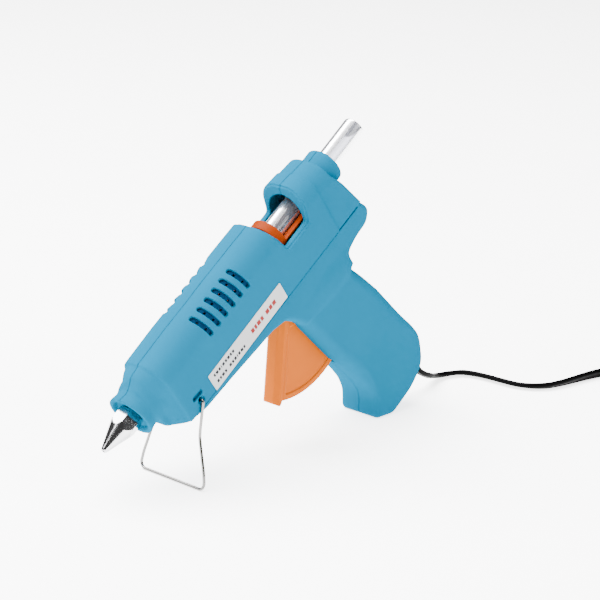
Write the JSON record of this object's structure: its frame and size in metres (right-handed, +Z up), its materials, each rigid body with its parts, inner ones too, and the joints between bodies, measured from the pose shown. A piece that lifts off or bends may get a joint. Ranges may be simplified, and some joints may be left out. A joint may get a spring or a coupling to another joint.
{
  "type": "glue gun",
  "caption": "Corded hot-melt glue gun in a two-shell plastic housing, with a pivoting trigger that feeds a glue stick, a metal nozzle and a fold-out wire stand.",
  "frame": {"origin": "on the surface that the gun stands on, under the middle of the standing gun's box, the lead left out", "axes": "+X towards the handle end, away from the nozzle; +Y the gun's right side; +Z up. The gun stands nose-down on its wire stand and the toe of its handle, its barrel tilted 37.6 degrees"},
  "size_m": [0.3948, 0.146, 0.1637],
  "materials": {
    "shell": "fine-textured satin",
    "trigger": "satin",
    "feed": "satin",
    "label": "coated paper",
    "nickel": "polished",
    "casting": "cast",
    "steel": "plain",
    "stand_wire": "drawn wire",
    "silicone": "matt",
    "ceramic": "matt",
    "brass": "plain",
    "glue": "translucent waxy",
    "pvc": "satin",
    "live": "satin",
    "neutral": "satin",
    "tie": "matt"
  },
  "bodies": {
    "housing": {"left_shell": "shell", "right_shell": "shell", "rating_label": "label", "nozzle": "nickel", "melting_chamber": "casting", "heater_element": "ceramic", "electrode_upper": "brass", "electrode_lower": "brass", "inlet_sleeve": "silicone", "sleeve_clamp": "steel", "trigger_pin": "steel", "return_spring": "steel", "cord_grommet": "pvc", "cord_clamp": "feed", "lead_tail": "pvc", "live_wire": "live", "neutral_wire": "neutral", "housing_screw_1": "steel", "housing_screw_2": "steel", "housing_screw_3": "steel", "housing_screw_4": "steel", "housing_screw_5": "steel", "clamp_screw_1": "steel", "clamp_screw_2": "steel", "mains_lead": "pvc", "lead_coil": "pvc", "lead_tie": "tie", "plug_body": "pvc", "plug_pin_1": "nickel", "plug_pin_2": "nickel"},
    "trigger": {"trigger": "trigger"},
    "carriage": {"feed_carriage": "feed", "grip_plate": "steel", "carriage_pin": "steel"},
    "stick": {"glue_stick": "glue"},
    "stand": {"wire_stand": "stand_wire"}
  },
  "joints": [
    {"name": "trigger_pull", "type": "hinge", "parent": "housing", "child": "trigger", "pos_m": [0.01086, 0, 0.07169], "axis": [0, -1, 0], "range_deg": [0, 28], "stiffness_Nm_per_rad": 0.15, "springref_deg": -17.19, "deforming": ["return_spring"]},
    {"name": "carriage_feed", "type": "slide", "parent": "housing", "child": "carriage", "axis": [-0.7923, 0, -0.6101], "range_m": [0, 0.01422]},
    {"name": "stick_pull", "type": "slide", "parent": "carriage", "child": "stick", "axis": [0.7923, 0, 0.6101], "range_m": [0, 0.12]},
    {"name": "stand_fold", "type": "hinge", "parent": "housing", "child": "stand", "pos_m": [-0.064, 0, 0.04434], "axis": [0, -1, 0], "range_deg": [0, 100]}
  ],
  "couplings": [
    {"joint": "carriage_feed", "follows": "trigger_pull", "m_per_rad": 0.029081}
  ]
}
